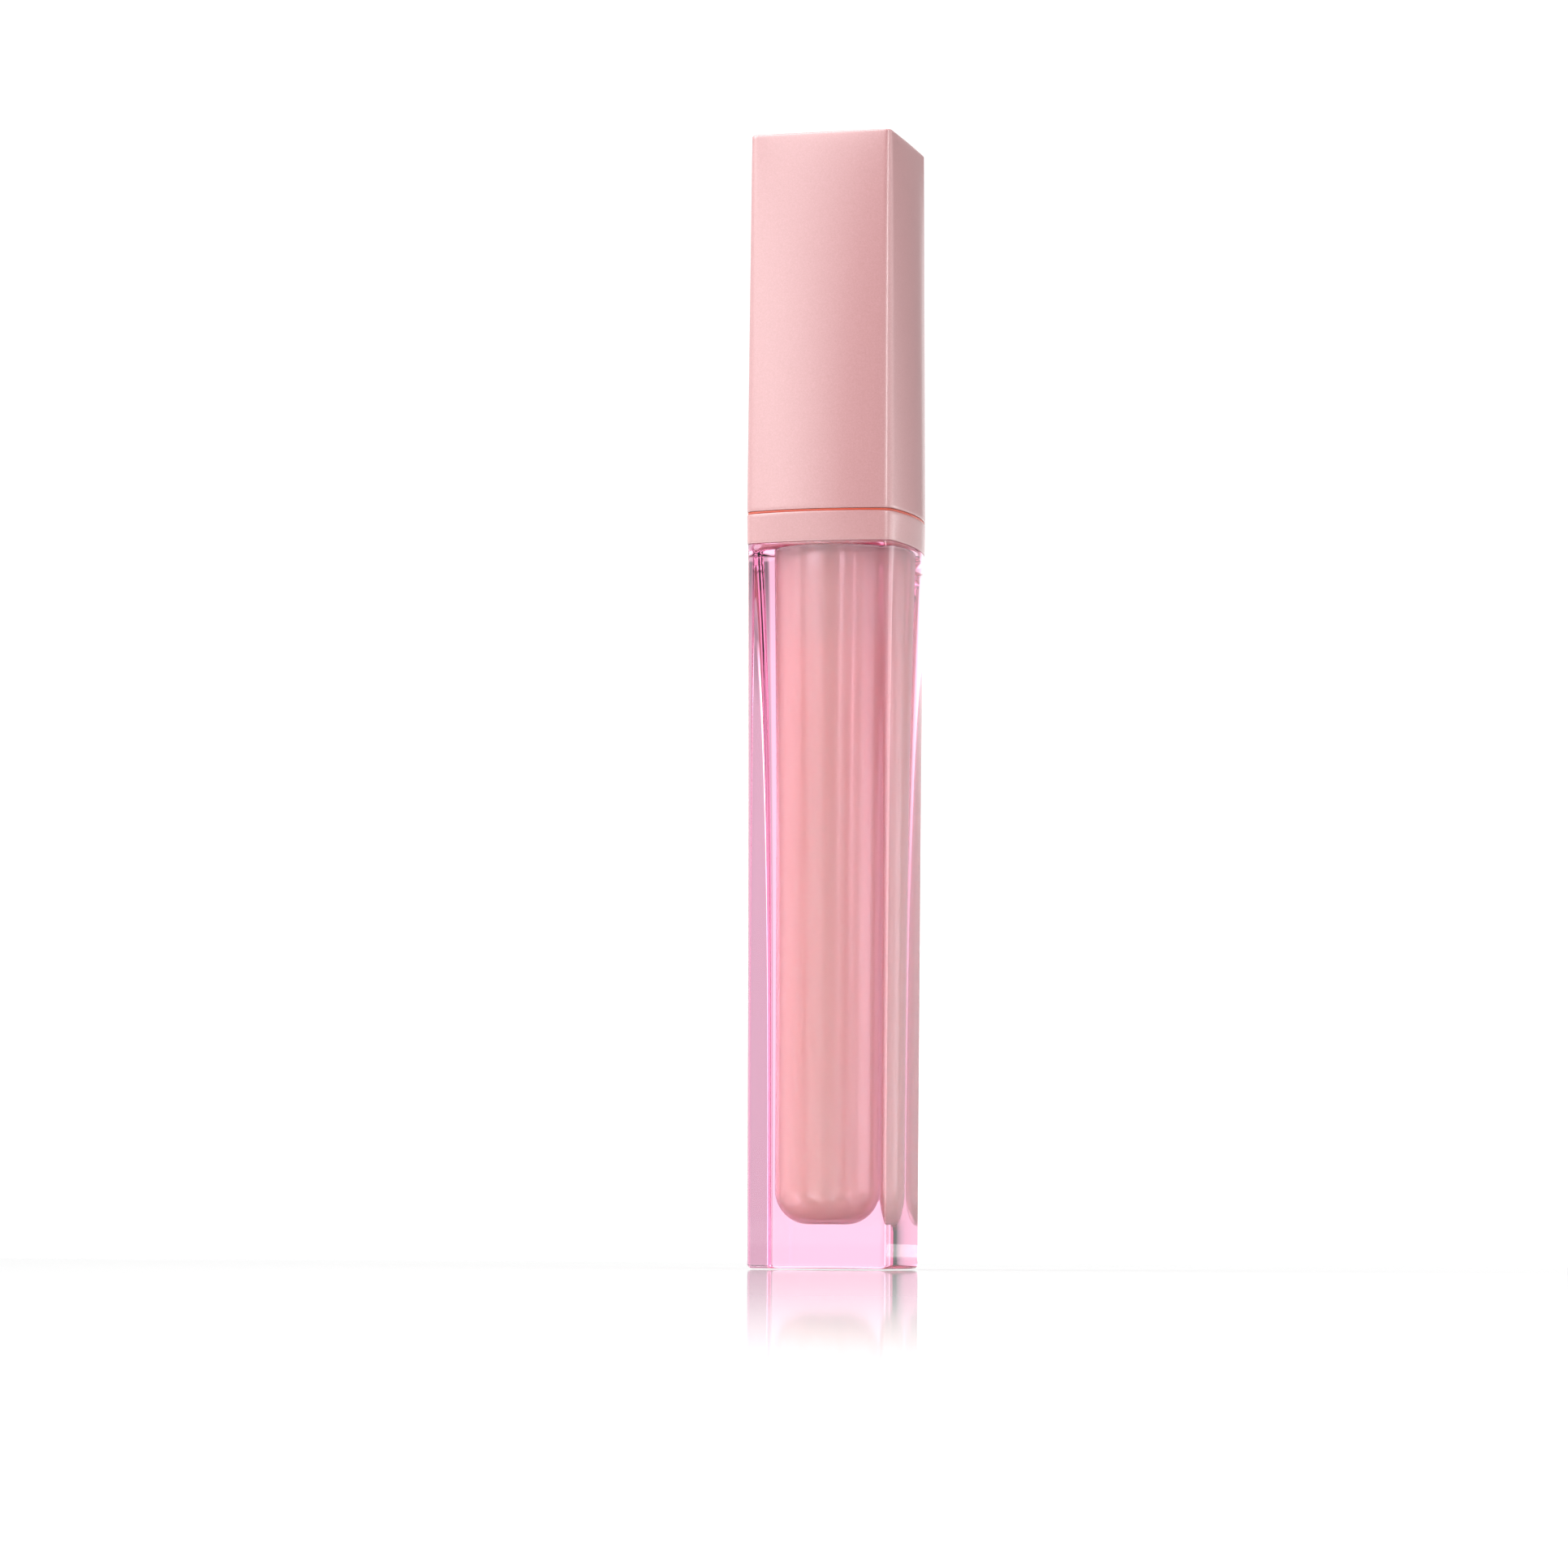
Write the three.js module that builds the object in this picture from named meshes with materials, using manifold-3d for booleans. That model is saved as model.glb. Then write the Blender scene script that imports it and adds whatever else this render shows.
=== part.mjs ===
// Lip gloss tube: a clear, thick-walled square bottle with a round chamber,
// and a tall pearl-pink screw cap that carries the applicator wand.
// Millimetres, +Z up. The origin is the middle of the bottle's underside.
import * as THREE from 'three';
import * as BufferGeometryUtils from 'three/addons/utils/BufferGeometryUtils.js';
import Module from 'manifold-3d';

const wasm = await Module();
wasm.setup();

// ---- Driving dimensions ----

// gap kept between pieces that touch on the real tube
const FIT = 0.3;

// overall stack
const TOTAL_HEIGHT = 123.4;
const COLLAR_BOTTOM = 78.45;
const COLLAR_TOP = 81.55;
const CAP_BOTTOM = COLLAR_TOP + FIT;
const BOTTLE_TOP = COLLAR_BOTTOM - FIT;

// square section: half of the straight chord between corners, how far each side bows out past it,
// and the corner radius
const BASE_SECTION = { chord: 7.67, bow: 0.05, corner: 0.6 };
const JOINT_SECTION = { chord: 8.0, bow: 1.2, corner: 1.5 };
const TOP_SECTION = { chord: 7.88, bow: 0.05, corner: 0.6 };
const BODY_BOW_POWER = 3.0;
const CAP_BOW_POWER = 0.5;
const SIDE_STEPS = 8;
const CORNER_STEPS = 4;
const BODY_INSET = 0.07;
const BASE_EDGE = 0.6;
const CAP_EDGE = 0.25;

// round chamber, liner and fill
const CHAMBER_FLOOR = 4.4;
const CHAMBER_RADIUS = 6.0;
const FLOOR_CURVE = 3.7;
const LINER_WALL = 0.6;
const LINER_FLANGE_RADIUS = 6.7;
const LINER_FLANGE_DEPTH = 1.1;
const FILL_TOP = 76.6;
const WAND_POCKET_RADIUS = 2.75;
const WAND_POCKET_FLOOR = 7.6;

// neck and its thread
const SHOULDER_RADIUS = 7.2;
const SHOULDER_TOP = 82.35;
const PLUG_BOTTOM = 77.0;
const NECK_BORE_RADIUS = 3.9;
const NECK_RADIUS = 4.8;
const NECK_TOP = 91.5;
const THREAD_PITCH = 2.4;
const THREAD_HEIGHT = 0.7;
const THREAD_ROOT_WIDTH = 0.9;
const THREAD_CREST_WIDTH = 0.45;
const THREAD_TURNS = 1.5;
const THREAD_START = 84.4;

// wiper pressed into the neck
const WIPER_BOTTOM = 68.6;
const WIPER_RADIUS = NECK_BORE_RADIUS - FIT;
const WIPER_WALL = 0.5;
const WIPER_LIP_RADIUS = 1.5;
const WIPER_FLANGE_RADIUS = 4.6;
const WIPER_FLANGE_TOP = 92.4;

// loose sealing washer on the neck
const WASHER_BOTTOM = WIPER_FLANGE_TOP + FIT;
const WASHER_THICKNESS = 0.8;
const WASHER_RADIUS = 5.0;
const WASHER_HOLE_RADIUS = 1.7;

// threaded insert inside the cap
const INSERT_BOTTOM = SHOULDER_TOP + FIT;
const INSERT_BORE_RADIUS = NECK_RADIUS + THREAD_HEIGHT + FIT;
const INSERT_RADIUS = 6.6;
const INSERT_WEB_BOTTOM = WASHER_BOTTOM + WASHER_THICKNESS + FIT;
const INSERT_WEB_TOP = INSERT_WEB_BOTTOM + 1.2;
const INSERT_TOP = 101.5;
const SOCKET_RADIUS = 3.9;
const SOCKET_BORE_RADIUS = 2.9;
const RIB_THICKNESS = 1.0;
const RIB_REACH = 8.2;

// cap shell
const CAP_WALL = 1.25;
const CAP_CEILING = 119.6;

// weight slug
const WEIGHT_RADIUS = 5.6;
const WEIGHT_BOTTOM = INSERT_TOP + FIT;
const WEIGHT_HEIGHT = 15.0;
const WEIGHT_CHAMFER = 0.5;

// top plate
const PLATE_HALF = 7.15;
const PLATE_CORNER = 1.1;
const PLATE_THICKNESS = 0.8;
const PLATE_CHAMFER = 0.2;
const PLATE_SIDE_GAP = 0.25;
const PAD_THICKNESS = 0.25;

// wand
const STEM_RADIUS = 1.15;
const STEM_BOTTOM = 22.6;
const STEM_HEAD_RADIUS = SOCKET_BORE_RADIUS - FIT;
const STEM_HEAD_BOTTOM = INSERT_WEB_TOP + FIT;
const STEM_HEAD_TOP = 100.6;
const SPIGOT_RADIUS = 0.65;
const SPIGOT_BOTTOM = 18.6;
const TIP_TOP = STEM_BOTTOM - FIT;
const TIP_BOTTOM = 8.6;

const ROUND_STEPS = 32;

// ---- Geometry helpers ----

const vec2 = (x, y) => new THREE.Vector2(x, y);

// Closed outline of a square with bowed sides and rounded corners, counterclockwise, shrunk by inset.
function squareOutline(section, inset = 0) {
  const chord = section.chord - inset;
  const bow = section.bow;
  const corner = Math.max(section.corner - inset * 0.5, 0.2);
  const sideRadius = (chord * chord + bow * bow) / (2 * bow);
  const offset = sideRadius - chord - bow;
  const reach = Math.sqrt(2 * (sideRadius - corner) ** 2 - offset * offset);
  const centre = (reach - offset) / 2;
  const half = Math.atan2(centre, centre + offset);
  const side = [];
  for (let i = 0; i <= SIDE_STEPS; i++) {
    const angle = -half + (2 * half * i) / SIDE_STEPS;
    side.push(vec2(sideRadius * Math.sin(angle), offset - sideRadius * Math.cos(angle)));
  }
  for (let i = 1; i < CORNER_STEPS; i++) {
    const angle = half + ((Math.PI / 2 - 2 * half) * i) / CORNER_STEPS;
    side.push(vec2(centre + corner * Math.sin(angle), -centre - corner * Math.cos(angle)));
  }
  const quarters = [0, 1, 2, 3].map((turn) => side.map(
    (point) => point.clone().rotateAround(vec2(0, 0), (turn * Math.PI) / 2)));
  return quarters.flat();
}

function mixSections(from, to, share, bowShare) {
  return {
    chord: THREE.MathUtils.lerp(from.chord, to.chord, share),
    bow: THREE.MathUtils.lerp(from.bow, to.bow, bowShare),
    corner: THREE.MathUtils.lerp(from.corner, to.corner, bowShare),
  };
}

// Section of the bottle, which is square at its foot and bowed only near the collar.
function bodySection(z) {
  const share = z / COLLAR_TOP;
  return mixSections(BASE_SECTION, JOINT_SECTION, share, share ** BODY_BOW_POWER);
}

// Section of the cap, bowed for most of its length and square at its top.
function capSection(z) {
  const share = Math.max(TOTAL_HEIGHT - z, 0) / (TOTAL_HEIGHT - CAP_BOTTOM);
  return mixSections(TOP_SECTION, JOINT_SECTION, share, share ** CAP_BOW_POWER);
}

const ringAt = (outline, z) => outline.map((point) => new THREE.Vector3(point.x, point.y, z));

function averageOf(ring) {
  const sum = ring.reduce((total, point) => total.add(point), new THREE.Vector3());
  return sum.divideScalar(ring.length);
}

// Skin through rings of equal point count, closed by a fan at each end.
function skin(rings) {
  const count = rings[0].length;
  const points = [...rings.flat(), averageOf(rings[0]), averageOf(rings[rings.length - 1])];
  const first = points.length - 2;
  const last = points.length - 1;
  const index = [];
  for (let level = 0; level < rings.length - 1; level++) {
    for (let i = 0; i < count; i++) {
      const a = level * count + i;
      const b = level * count + ((i + 1) % count);
      index.push(a, b, b + count, a, b + count, a + count);
    }
  }
  const top = (rings.length - 1) * count;
  for (let i = 0; i < count; i++) {
    const next = (i + 1) % count;
    index.push(first, next, i, last, top + i, top + next);
  }
  const geometry = new THREE.BufferGeometry().setFromPoints(points);
  geometry.setIndex(index);
  return geometry;
}

// Body of revolution about Z from [radius, height] pairs.
function turned(profile) {
  const points = profile.map(([radius, height]) => vec2(radius, height));
  return new THREE.LatheGeometry(points, ROUND_STEPS).rotateX(Math.PI / 2);
}

function signedVolume(geometry) {
  const position = geometry.getAttribute('position');
  const index = geometry.getIndex();
  const [a, b, c] = [new THREE.Vector3(), new THREE.Vector3(), new THREE.Vector3()];
  let volume = 0;
  for (let i = 0; i < index.count; i += 3) {
    a.fromBufferAttribute(position, index.getX(i));
    b.fromBufferAttribute(position, index.getX(i + 1));
    c.fromBufferAttribute(position, index.getX(i + 2));
    volume += a.dot(b.cross(c)) / 6;
  }
  return volume;
}

// Merged, outward-facing copy with positions only, free of collapsed triangles.
function closed(geometry) {
  const bare = geometry.clone();
  bare.deleteAttribute('normal');
  bare.deleteAttribute('uv');
  const merged = BufferGeometryUtils.mergeVertices(bare, 1e-5);
  const index = Array.from(merged.getIndex().array);
  const kept = [];
  for (let i = 0; i < index.length; i += 3) {
    const [a, b, c] = index.slice(i, i + 3);
    if (a !== b && b !== c && c !== a) kept.push(a, b, c);
  }
  merged.setIndex(kept);
  if (signedVolume(merged) < 0) merged.setIndex(kept.reverse());
  return merged;
}

function solid(geometry) {
  const merged = closed(geometry);
  const vertProperties = new Float32Array(merged.getAttribute('position').array);
  const triVerts = new Uint32Array(merged.getIndex().array);
  return new wasm.Manifold(new wasm.Mesh({ numProp: 3, vertProperties, triVerts }));
}

function geometryOf(body) {
  const { vertProperties, triVerts } = body.getMesh();
  const geometry = new THREE.BufferGeometry();
  geometry.setAttribute('position', new THREE.BufferAttribute(vertProperties, 3));
  geometry.setIndex(new THREE.BufferAttribute(triVerts, 1));
  return geometry;
}

// Right-hand thread ridge: rises from the wall at rootRadius towards crestRadius and fades in and out.
function threadRidge(rootRadius, crestRadius, start) {
  const steps = Math.round(THREAD_TURNS * 28);
  const sink = Math.sign(rootRadius - crestRadius) * 0.2;
  const rings = [];
  for (let i = 0; i <= steps; i++) {
    const share = i / steps;
    const fade = Math.min(1, 0.15 + 7 * Math.min(share, 1 - share));
    const crest = THREE.MathUtils.lerp(rootRadius, crestRadius, fade);
    const angle = share * THREAD_TURNS * 2 * Math.PI;
    const middle = start + share * THREAD_TURNS * THREAD_PITCH;
    const around = (radius, rise) => new THREE.Vector3(
      radius * Math.cos(angle), radius * Math.sin(angle), middle + rise);
    rings.push([
      around(rootRadius + sink, -THREAD_ROOT_WIDTH / 2),
      around(crest, -THREAD_CREST_WIDTH / 2),
      around(crest, THREAD_CREST_WIDTH / 2),
      around(rootRadius + sink, THREAD_ROOT_WIDTH / 2),
    ]);
  }
  return skin(rings);
}

// Quarter-circle corner of a rounded chamber floor, from the flat centre out to the wall.
function floorCurve(radius, floor, curve) {
  const arc = [];
  for (let i = 0; i <= 6; i++) {
    const angle = (i / 6) * (Math.PI / 2);
    arc.push([radius - curve + curve * Math.sin(angle), floor + curve * (1 - Math.cos(angle))]);
  }
  return arc;
}

// ---- Materials ----

const material = (color, roughness, metalness = 0, opacity = 1) => new THREE.MeshStandardMaterial({
  color: new THREE.Color(color),
  roughness,
  metalness,
  opacity,
  transparent: opacity < 1,
});

const CLEAR_PINK = () => material('#f7cfe0', 0.04, 0, 0.35);
const CLEAR = () => material('#f9e6ee', 0.05, 0, 0.35);
const GLOSS_PINK = () => material('#e0a3a6', 0.25);
const PEARL_PINK = () => material('#e8c2c6', 0.28, 0.25);
const CORAL = () => material('#c9553f', 0.35);
const NATURAL = () => material('#ece7e2', 0.45);
const SOFT_WHITE = () => material('#f3efec', 0.6);
const STEEL = () => material('#a9abad', 0.35, 1);
const GOLD = () => material('#f0d3a0', 0.18, 1);
const ADHESIVE = () => material('#d9d4cc', 0.8);
const FLOCK = () => material('#f4e3e2', 0.95);

// ---- Bottle pieces ----

function bottleShell() {
  const levels = [0.6, 6, 16, 28, 40, 50, 58, 64, 69, 73, 76, BOTTLE_TOP];
  const edge = [[0, BASE_EDGE], [0.18, BASE_EDGE * 0.3]];
  const rings = [
    ...edge.map(([z, inset]) => ringAt(squareOutline(bodySection(z), inset), z)),
    ...levels.map((z) => ringAt(squareOutline(bodySection(z), (BODY_INSET * z) / BOTTLE_TOP), z)),
  ];
  const flangeSeat = BOTTLE_TOP - LINER_FLANGE_DEPTH - FIT;
  const bore = turned([
    [0, CHAMBER_FLOOR],
    ...floorCurve(CHAMBER_RADIUS, CHAMBER_FLOOR, FLOOR_CURVE),
    [CHAMBER_RADIUS, flangeSeat],
    [LINER_FLANGE_RADIUS + FIT, flangeSeat],
    [LINER_FLANGE_RADIUS + FIT, BOTTLE_TOP + 1],
    [0, BOTTLE_TOP + 1],
  ]);
  return geometryOf(solid(skin(rings)).subtract(solid(bore)));
}

function chamberLiner() {
  const outer = CHAMBER_RADIUS - FIT;
  const inner = outer - LINER_WALL;
  const outerFloor = CHAMBER_FLOOR + FIT;
  const innerFloor = outerFloor + LINER_WALL;
  const flangeBottom = BOTTLE_TOP - LINER_FLANGE_DEPTH;
  return turned([
    [0, outerFloor],
    ...floorCurve(outer, outerFloor, FLOOR_CURVE - FIT),
    [outer, flangeBottom],
    [LINER_FLANGE_RADIUS, flangeBottom],
    [LINER_FLANGE_RADIUS, BOTTLE_TOP],
    [inner, BOTTLE_TOP],
    ...floorCurve(inner, innerFloor, FLOOR_CURVE - FIT - LINER_WALL).reverse(),
    [0, innerFloor],
  ]);
}

// The fill stands all round the wiper sleeve and leaves the wand its pocket.
function glossFill() {
  const radius = CHAMBER_RADIUS - FIT - LINER_WALL - FIT;
  const floor = CHAMBER_FLOOR + FIT + LINER_WALL + FIT;
  const sleeveClear = WIPER_RADIUS + FIT;
  const sleeveEnd = WIPER_BOTTOM - FIT;
  return turned([
    [0, floor],
    ...floorCurve(radius, floor, FLOOR_CURVE - 2 * FIT - LINER_WALL),
    [radius, FILL_TOP],
    [sleeveClear, FILL_TOP],
    [sleeveClear, sleeveEnd],
    [WAND_POCKET_RADIUS, sleeveEnd],
    [WAND_POCKET_RADIUS, WAND_POCKET_FLOOR + 1],
    [WAND_POCKET_RADIUS - 1, WAND_POCKET_FLOOR],
    [0, WAND_POCKET_FLOOR],
  ]);
}

function neck() {
  const plugRadius = CHAMBER_RADIUS - FIT - LINER_WALL - FIT;
  const body = turned([
    [NECK_BORE_RADIUS, PLUG_BOTTOM],
    [plugRadius, PLUG_BOTTOM],
    [plugRadius, COLLAR_BOTTOM],
    [SHOULDER_RADIUS, COLLAR_BOTTOM],
    [SHOULDER_RADIUS, SHOULDER_TOP - 0.2],
    [SHOULDER_RADIUS - 0.2, SHOULDER_TOP],
    [NECK_RADIUS, SHOULDER_TOP],
    [NECK_RADIUS, NECK_TOP - 0.3],
    [NECK_RADIUS - 0.3, NECK_TOP],
    [NECK_BORE_RADIUS, NECK_TOP],
    [NECK_BORE_RADIUS, PLUG_BOTTOM],
  ]);
  const ridge = threadRidge(NECK_RADIUS, NECK_RADIUS + THREAD_HEIGHT, THREAD_START);
  return geometryOf(solid(body).add(solid(ridge)));
}

function wiper() {
  const inner = WIPER_RADIUS - WIPER_WALL;
  const flangeBottom = NECK_TOP + FIT;
  return turned([
    [WIPER_LIP_RADIUS, WIPER_BOTTOM],
    [WIPER_LIP_RADIUS + 0.4, WIPER_BOTTOM],
    [WIPER_RADIUS, WIPER_BOTTOM + 2.4],
    [WIPER_RADIUS, flangeBottom],
    [WIPER_FLANGE_RADIUS, flangeBottom],
    [WIPER_FLANGE_RADIUS, WIPER_FLANGE_TOP],
    [inner, WIPER_FLANGE_TOP],
    [inner, WIPER_BOTTOM + 2.6],
    [WIPER_LIP_RADIUS, WIPER_BOTTOM + 0.5],
    [WIPER_LIP_RADIUS, WIPER_BOTTOM],
  ]);
}

function collar() {
  const levels = [
    [COLLAR_BOTTOM, 0.12],
    [COLLAR_BOTTOM + 0.15, 0],
    [COLLAR_TOP - 0.15, 0],
    [COLLAR_TOP, 0.12],
  ];
  const rings = levels.map(([z, inset]) => ringAt(squareOutline(bodySection(z), inset), z));
  const hole = turned([
    [0, COLLAR_BOTTOM - 1],
    [SHOULDER_RADIUS + FIT, COLLAR_BOTTOM - 1],
    [SHOULDER_RADIUS + FIT, COLLAR_TOP + 1],
    [0, COLLAR_TOP + 1],
  ]);
  return geometryOf(solid(skin(rings)).subtract(solid(hole)));
}

// ---- Cap pieces ----

// Square pocket for the plate and its pad in the cap's top.
function plateSection(inset = 0) {
  return squareOutline({ chord: PLATE_HALF, bow: 0.02, corner: PLATE_CORNER }, inset);
}

function capShell() {
  const levels = [CAP_BOTTOM + 0.15, 84, 90, 97, 104, 110, 115, 118.5, 120.8, 122.2];
  const edgeBottom = TOTAL_HEIGHT - CAP_EDGE;
  const rings = [
    ringAt(squareOutline(capSection(CAP_BOTTOM), 0.12), CAP_BOTTOM),
    ...levels.map((z) => ringAt(squareOutline(capSection(z)), z)),
    ringAt(squareOutline(capSection(edgeBottom)), edgeBottom),
    ringAt(squareOutline(capSection(TOTAL_HEIGHT), CAP_EDGE), TOTAL_HEIGHT),
  ];
  const hollowLevels = [CAP_BOTTOM - 1, CAP_BOTTOM, 90, 100, 110, 116, CAP_CEILING];
  const hollow = skin(hollowLevels.map((z) => {
    const section = capSection(Math.max(z, CAP_BOTTOM));
    return ringAt(squareOutline(section, CAP_WALL), z);
  }));
  const pocketFloor = TOTAL_HEIGHT - PLATE_THICKNESS - FIT - PAD_THICKNESS - FIT;
  const pocket = skin([pocketFloor, TOTAL_HEIGHT + 1].map(
    (z) => ringAt(plateSection(-PLATE_SIDE_GAP), z)));
  return geometryOf(solid(skin(rings)).subtract(solid(hollow)).subtract(solid(pocket)));
}

function platePad() {
  const top = TOTAL_HEIGHT - PLATE_THICKNESS - FIT;
  return skin([top - PAD_THICKNESS, top].map((z) => ringAt(plateSection(0.8), z)));
}

function topPlate() {
  const bottom = TOTAL_HEIGHT - PLATE_THICKNESS;
  return skin([
    ringAt(plateSection(), bottom),
    ringAt(plateSection(), TOTAL_HEIGHT - PLATE_CHAMFER),
    ringAt(plateSection(PLATE_CHAMFER), TOTAL_HEIGHT),
  ]);
}

function capInsert() {
  const body = turned([
    [INSERT_BORE_RADIUS, INSERT_BOTTOM],
    [INSERT_RADIUS, INSERT_BOTTOM],
    [INSERT_RADIUS, INSERT_WEB_TOP],
    [SOCKET_RADIUS, INSERT_WEB_TOP],
    [SOCKET_RADIUS, INSERT_TOP],
    [SOCKET_BORE_RADIUS, INSERT_TOP],
    [SOCKET_BORE_RADIUS, INSERT_WEB_TOP],
    [STEM_RADIUS + FIT, INSERT_WEB_TOP],
    [STEM_RADIUS + FIT, INSERT_WEB_BOTTOM],
    [INSERT_BORE_RADIUS, INSERT_WEB_BOTTOM],
    [INSERT_BORE_RADIUS, INSERT_BOTTOM],
  ]);
  const ridgeStart = THREAD_START + THREAD_PITCH / 2;
  const ridge = threadRidge(INSERT_BORE_RADIUS, INSERT_BORE_RADIUS - THREAD_HEIGHT, ridgeStart);
  const ribLength = RIB_REACH - INSERT_RADIUS + 0.4;
  const ribHeight = INSERT_WEB_TOP - INSERT_BOTTOM;
  let insert = solid(body).add(solid(ridge));
  for (let quarter = 0; quarter < 4; quarter++) {
    const rib = new THREE.BoxGeometry(ribLength, RIB_THICKNESS, ribHeight);
    rib.translate(RIB_REACH - ribLength / 2, 0, INSERT_BOTTOM + ribHeight / 2);
    rib.rotateZ(Math.PI / 4 + (quarter * Math.PI) / 2);
    insert = insert.add(solid(rib));
  }
  return geometryOf(insert);
}

function weightSlug() {
  const top = WEIGHT_BOTTOM + WEIGHT_HEIGHT;
  return turned([
    [0, WEIGHT_BOTTOM],
    [WEIGHT_RADIUS - WEIGHT_CHAMFER, WEIGHT_BOTTOM],
    [WEIGHT_RADIUS, WEIGHT_BOTTOM + WEIGHT_CHAMFER],
    [WEIGHT_RADIUS, top - WEIGHT_CHAMFER],
    [WEIGHT_RADIUS - WEIGHT_CHAMFER, top],
    [0, top],
  ]);
}

function sealWasher() {
  return turned([
    [WASHER_HOLE_RADIUS, WASHER_BOTTOM],
    [WASHER_RADIUS, WASHER_BOTTOM],
    [WASHER_RADIUS, WASHER_BOTTOM + WASHER_THICKNESS],
    [WASHER_HOLE_RADIUS, WASHER_BOTTOM + WASHER_THICKNESS],
    [WASHER_HOLE_RADIUS, WASHER_BOTTOM],
  ]);
}

// ---- Wand ----

function stem() {
  return turned([
    [0, SPIGOT_BOTTOM],
    [SPIGOT_RADIUS, SPIGOT_BOTTOM],
    [SPIGOT_RADIUS, STEM_BOTTOM],
    [STEM_RADIUS, STEM_BOTTOM],
    [STEM_RADIUS, STEM_HEAD_BOTTOM],
    [STEM_HEAD_RADIUS, STEM_HEAD_BOTTOM],
    [STEM_HEAD_RADIUS, STEM_HEAD_TOP - 0.3],
    [STEM_HEAD_RADIUS - 0.3, STEM_HEAD_TOP],
    [0, STEM_HEAD_TOP],
  ]);
}

// Flocked doe-foot: round at its root, flattened on a slant towards its end.
function applicatorTip() {
  const stations = [
    [TIP_TOP, 1.45, 1.45, 0],
    [TIP_TOP - 0.5, 1.85, 1.85, 0],
    [18, 1.95, 1.95, 0],
    [15.5, 2.05, 1.8, 0.05],
    [13, 2.1, 1.45, 0.15],
    [11, 1.95, 1.1, 0.3],
    [9.6, 1.5, 0.75, 0.42],
    [8.9, 0.95, 0.5, 0.48],
    [TIP_BOTTOM, 0.5, 0.3, 0.5],
  ].reverse();
  const rings = stations.map(([z, wide, deep, shift]) => {
    const ellipse = new THREE.EllipseCurve(0, shift, wide, deep, 0, 2 * Math.PI);
    return ringAt(ellipse.getPoints(24).slice(0, -1), z);
  });
  const socketTop = TIP_TOP + 1;
  const socket = turned([
    [0, SPIGOT_BOTTOM - FIT],
    [SPIGOT_RADIUS + FIT, SPIGOT_BOTTOM - FIT],
    [SPIGOT_RADIUS + FIT, socketTop],
    [0, socketTop],
  ]);
  return geometryOf(solid(skin(rings)).subtract(solid(socket)));
}

// ---- Assembly ----

function piece(name, geometry, look) {
  const shape = closed(geometry);
  shape.computeVertexNormals();
  const mesh = new THREE.Mesh(shape, look);
  mesh.name = name;
  return mesh;
}

const bottle = new THREE.Group();
bottle.add(
  piece('outer_bottle', bottleShell(), CLEAR_PINK()),
  piece('chamber_liner', chamberLiner(), CLEAR()),
  piece('gloss_fill', glossFill(), GLOSS_PINK()),
  piece('neck', neck(), CORAL()),
  piece('wiper', wiper(), NATURAL()),
  piece('collar', collar(), PEARL_PINK()),
);

const cap = new THREE.Group();
cap.add(
  piece('cap_shell', capShell(), PEARL_PINK()),
  piece('plate_pad', platePad(), ADHESIVE()),
  piece('top_plate', topPlate(), GOLD()),
  piece('cap_insert', capInsert(), NATURAL()),
  piece('cap_weight', weightSlug(), STEEL()),
  piece('seal_washer', sealWasher(), SOFT_WHITE()),
  piece('stem', stem(), NATURAL()),
  piece('applicator_tip', applicatorTip(), FLOCK()),
);

const group = new THREE.Group();
group.add(bottle, cap);

export default group;
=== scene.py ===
import math

import bpy
from mathutils import Matrix, Vector


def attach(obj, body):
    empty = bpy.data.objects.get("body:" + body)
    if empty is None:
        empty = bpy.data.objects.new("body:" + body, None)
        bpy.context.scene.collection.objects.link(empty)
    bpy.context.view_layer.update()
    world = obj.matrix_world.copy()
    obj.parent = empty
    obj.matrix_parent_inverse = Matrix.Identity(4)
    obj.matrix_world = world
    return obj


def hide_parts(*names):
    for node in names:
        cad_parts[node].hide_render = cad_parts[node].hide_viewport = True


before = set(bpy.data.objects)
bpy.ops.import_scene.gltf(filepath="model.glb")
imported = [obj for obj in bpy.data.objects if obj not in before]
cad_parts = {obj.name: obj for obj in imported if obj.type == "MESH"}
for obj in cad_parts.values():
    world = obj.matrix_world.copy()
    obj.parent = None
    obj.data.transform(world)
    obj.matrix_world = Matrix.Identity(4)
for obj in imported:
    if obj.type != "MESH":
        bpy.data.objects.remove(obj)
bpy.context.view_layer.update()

MM = 0.001
TAU = 2 * math.pi
QUARTER = math.pi / 2

# ---- Sizes in millimetres ----
# The outside, neck, cap and wand follow the CAD, with its gaps for fit drawn narrower. Block, liner and
# gloss, which the CAD keeps apart, overlap by a hair here, so that light passes from plastic to gloss with
# no film of air, and so the gloss is wider than the CAD's.

# overall stack
HEIGHT = 123.4
BOTTLE_TOP = 78.3
COLLAR_BOTTOM = 78.34
COLLAR_TOP = 81.58
CAP_BOTTOM = 81.84

# square sections: half of the straight chord between corners, how far each side bows out past it,
# and the corner radius
BASE_SECTION = (7.67, 0.05, 0.6)
JOINT_SECTION = (8.0, 1.2, 1.5)
TOP_SECTION = (7.88, 0.05, 0.6)
PLATE_SECTION = (7.3, 0.02, 1.1)
BODY_BOW_POWER = 3.0
CAP_BOW_POWER = 0.5
BODY_INSET = 0.07

# radii of the rounded edges
BASE_EDGE = 0.45
MOUTH_EDGE = 0.05
JOINT_EDGE = 0.12
CAP_EDGE = 0.25
PLATE_EDGE = 0.18

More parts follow.
